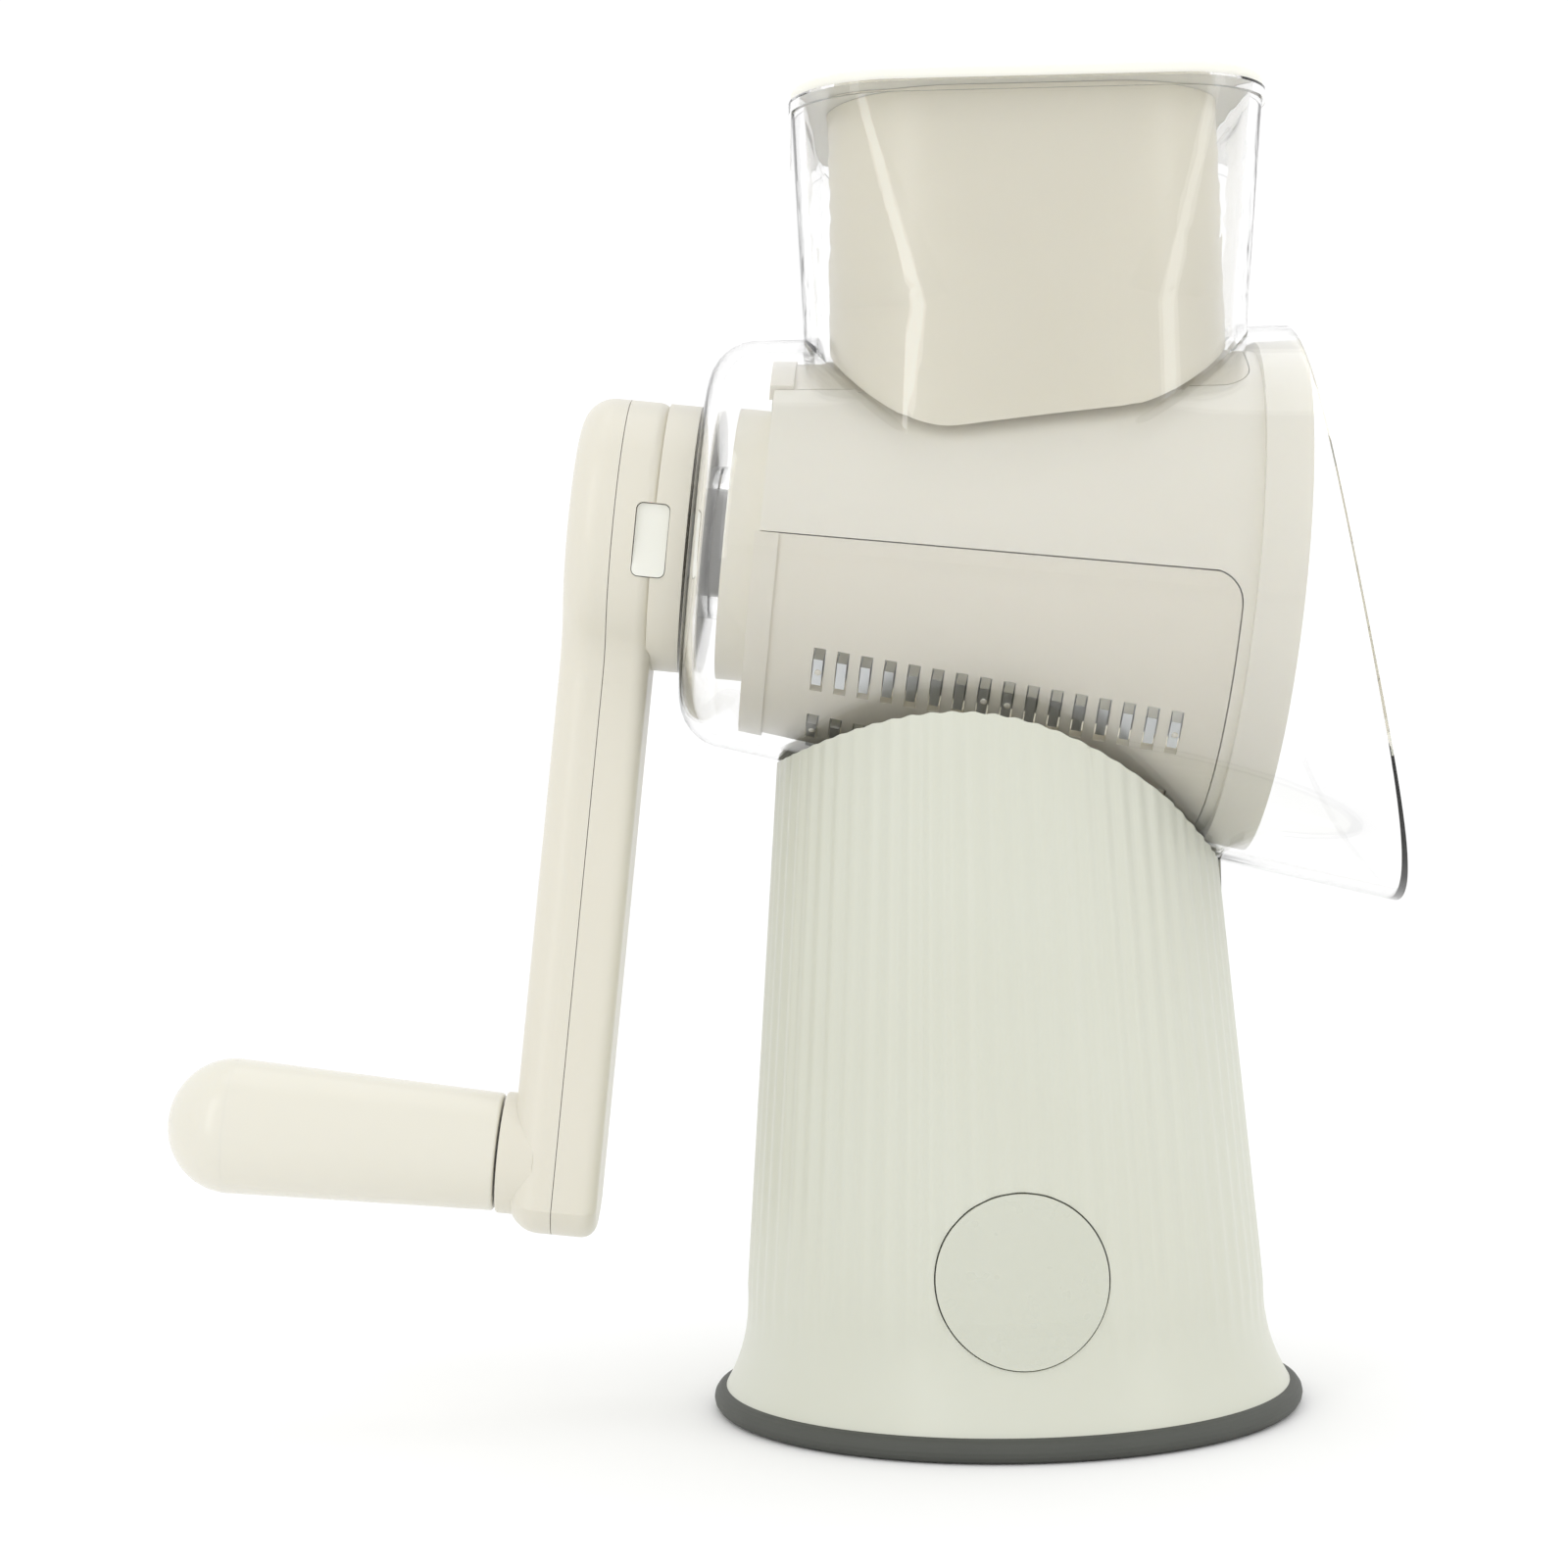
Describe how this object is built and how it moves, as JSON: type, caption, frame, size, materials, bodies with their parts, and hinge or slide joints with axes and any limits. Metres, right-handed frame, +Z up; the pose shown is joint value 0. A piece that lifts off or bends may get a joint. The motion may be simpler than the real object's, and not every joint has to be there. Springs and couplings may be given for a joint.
{
  "type": "rotary cheese grater",
  "caption": "Hand-cranked rotary grater on a suction base, with a clear feed housing, toothed drum, pusher and side spout.",
  "frame": {"origin": "middle of the base foot on the worktop", "axes": "+Z up, the crank is at -X, the spout at +X and the front disc faces -Y"},
  "size_m": [0.2726, 0.1347, 0.2842],
  "materials": {
    "clear_san": "clear polished moulding",
    "cream_drum": "cream ABS, semi gloss",
    "cream_panel": "cream ABS, semi gloss",
    "cream_crank": "cream ABS, semi gloss",
    "cream_grip": "cream ABS, glossy",
    "cream_pusher": "cream ABS, semi gloss",
    "white_plate": "off-white ABS",
    "ribbed_shell": "cream ABS with moulded flutes",
    "cream_cover": "cream ABS, semi gloss",
    "cream_cradle": "cream ABS, satin",
    "grey_white_button": "off-white ABS",
    "stainless_comb": "pressed stainless strip",
    "steel_pin": "turned steel",
    "zinc_screw": "zinc plated",
    "pom_bush": "white acetal",
    "pom_spindle": "white acetal",
    "pom_chassis": "white acetal, satin",
    "black_rubber": "dark grey moulded rubber"
  },
  "bodies": {
    "base": {"feed_housing": "clear_san", "drive_bush": "pom_bush", "base_shell": "ribbed_shell", "shaft_cover": "cream_cover", "cradle": "cream_cradle", "cradle_screws": "zinc_screw", "base_plate": "pom_chassis", "base_plate_screws": "zinc_screw", "suction_cup": "black_rubber"},
    "crank": {"crank_core": "cream_crank", "crank_cover": "cream_crank", "crank_screws": "zinc_screw", "drive_spindle": "pom_spindle", "grip_pin": "steel_pin"},
    "drum": {"drum_frame": "cream_drum", "blade_panel_a": "cream_panel", "blade_panel_b": "cream_panel", "tooth_strips_a": "stainless_comb", "tooth_strips_b": "stainless_comb"},
    "grip": {"grip_sleeve": "cream_grip", "grip_cap": "cream_grip"},
    "front_button": {"release_button_front": "grey_white_button"},
    "back_button": {"release_button_back": "grey_white_button"},
    "pusher": {"pusher_body": "cream_pusher", "pusher_cap": "white_plate"},
    "knob": {"cam_shaft": "pom_spindle", "suction_knob": "cream_cover", "shaft_washer": "zinc_screw"},
    "stem": {"lift_stem": "steel_pin", "stem_anchor": "zinc_screw"}
  },
  "joints": [
    {"name": "crank_turn", "type": "hinge", "parent": "base", "child": "crank", "pos_m": [0, 0, 0.184], "axis": [0.9925, 0, -0.1219], "continuous": true},
    {"name": "drum_slide", "type": "slide", "parent": "crank", "child": "drum", "axis": [0.9925, 0, -0.1219], "range_m": [0, 0.13]},
    {"name": "grip_turn", "type": "hinge", "parent": "crank", "child": "grip", "pos_m": [-0.01694, 0, 0.04604], "axis": [0.9925, 0, -0.1219], "continuous": true},
    {"name": "front_button_press", "type": "slide", "parent": "crank", "child": "front_button", "axis": [0, 1, 0], "range_m": [0, 0.002], "stiffness_N_per_m": 500, "springref_m": -0.002},
    {"name": "back_button_press", "type": "slide", "parent": "crank", "child": "back_button", "axis": [0, -1, 0], "range_m": [0, 0.002], "stiffness_N_per_m": 500, "springref_m": -0.002},
    {"name": "pusher_lift", "type": "slide", "parent": "base", "child": "pusher", "axis": [0, 0, 1], "range_m": [0, 0.075]},
    {"name": "knob_turn", "type": "hinge", "parent": "base", "child": "knob", "pos_m": [0, 0, 0.0353], "axis": [0, -1, 0], "range_deg": [0, 90]},
    {"name": "stem_lift", "type": "slide", "parent": "base", "child": "stem", "axis": [0, 0, 1], "range_m": [0, 0.00402]}
  ],
  "couplings": [
    {"joint": "stem_lift", "follows": "knob_turn", "m_per_rad": 0.0025465}
  ]
}
